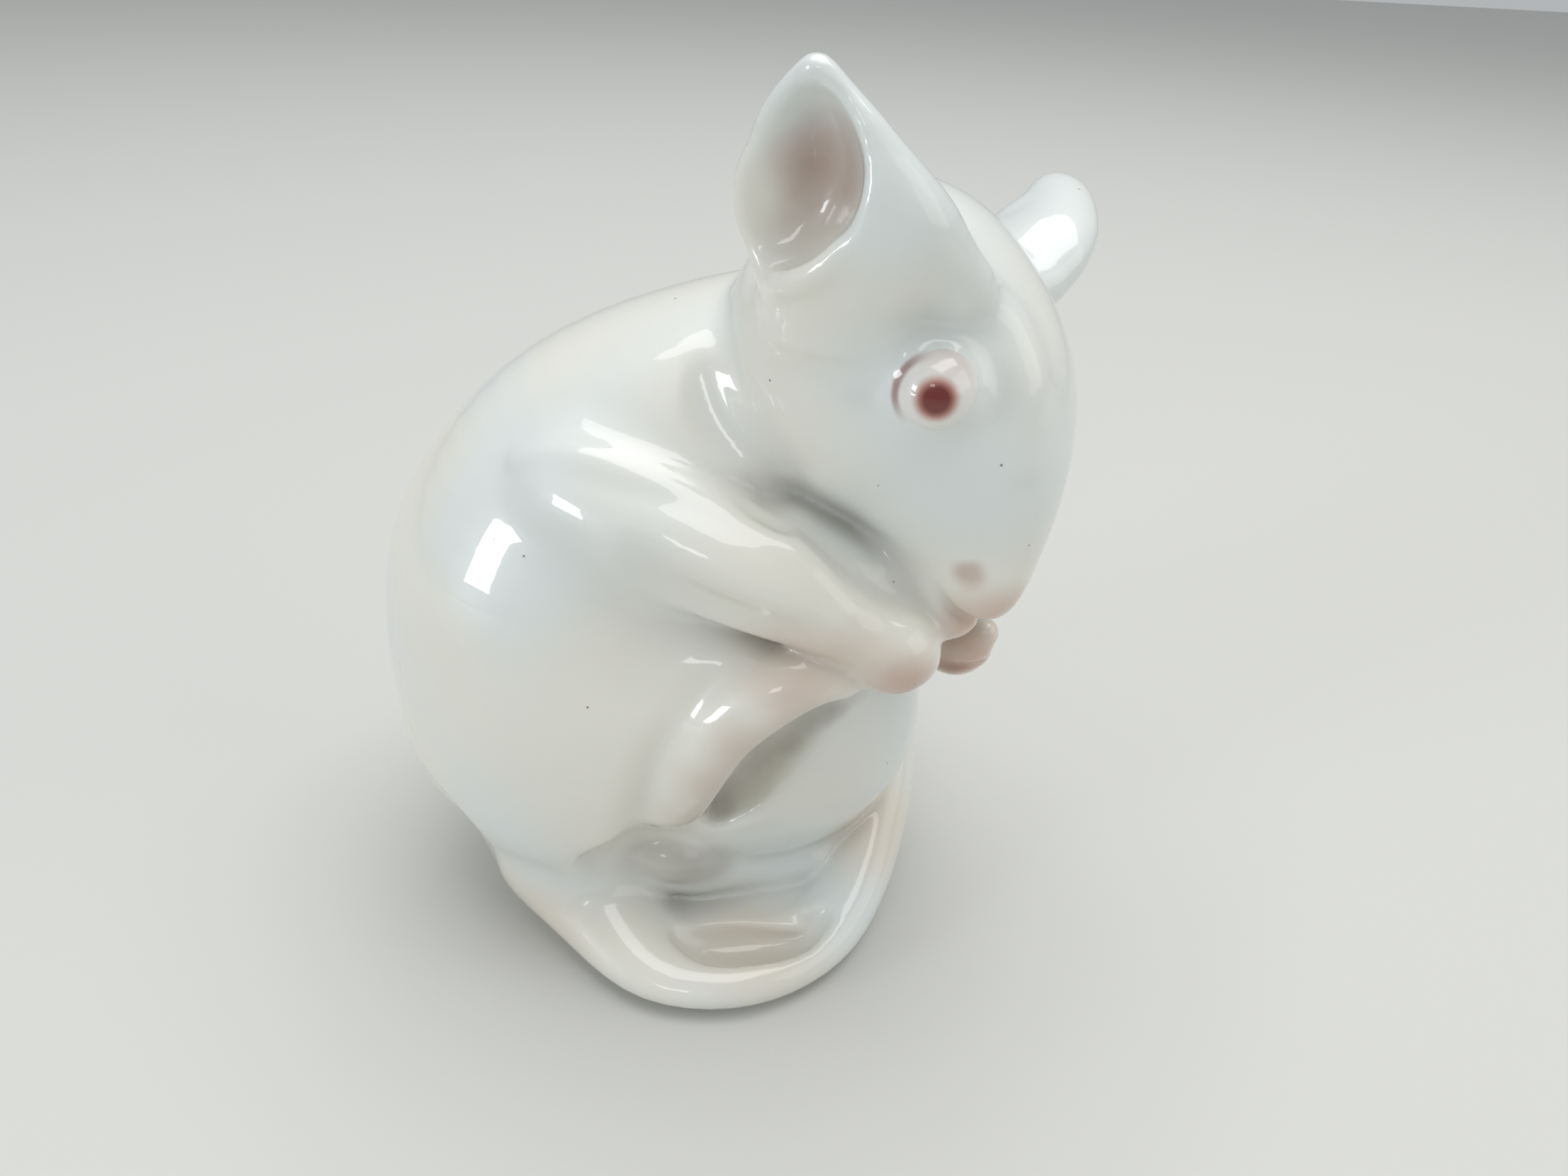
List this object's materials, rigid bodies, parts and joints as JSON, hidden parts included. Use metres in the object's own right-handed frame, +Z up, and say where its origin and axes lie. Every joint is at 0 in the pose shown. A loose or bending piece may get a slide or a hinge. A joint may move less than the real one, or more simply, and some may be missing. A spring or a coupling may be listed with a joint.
{
  "type": "mouse figurine",
  "caption": "Glazed white porcelain ornament of a sitting, hunched mouse that holds the raised end of its curled tail to its muzzle with both forepaws.",
  "frame": {"origin": "on the flat foot face, at the middle of the shelf under the feet", "axes": "+Z up, +X the way the body faces, +Y to the mouse's left"},
  "size_m": [0.043, 0.0311, 0.0561],
  "materials": {
    "glazed_porcelain": "clear glossy glaze over white porcelain, with thin brownish pink blush in the ears, on the nose, paws, shins and tail",
    "painted_eye": "white porcelain with a small red-brown iris painted under the clear glaze"
  },
  "bodies": {
    "root": {"body_shell": "glazed_porcelain", "head": "glazed_porcelain", "right_ear": "glazed_porcelain", "left_ear": "glazed_porcelain", "right_eye": "painted_eye", "left_eye": "painted_eye", "right_foreleg": "glazed_porcelain", "left_foreleg": "glazed_porcelain", "right_hind_leg": "glazed_porcelain", "left_hind_leg": "glazed_porcelain", "right_hind_foot": "glazed_porcelain", "left_hind_foot": "glazed_porcelain", "tail": "glazed_porcelain"}
  },
  "joints": []
}
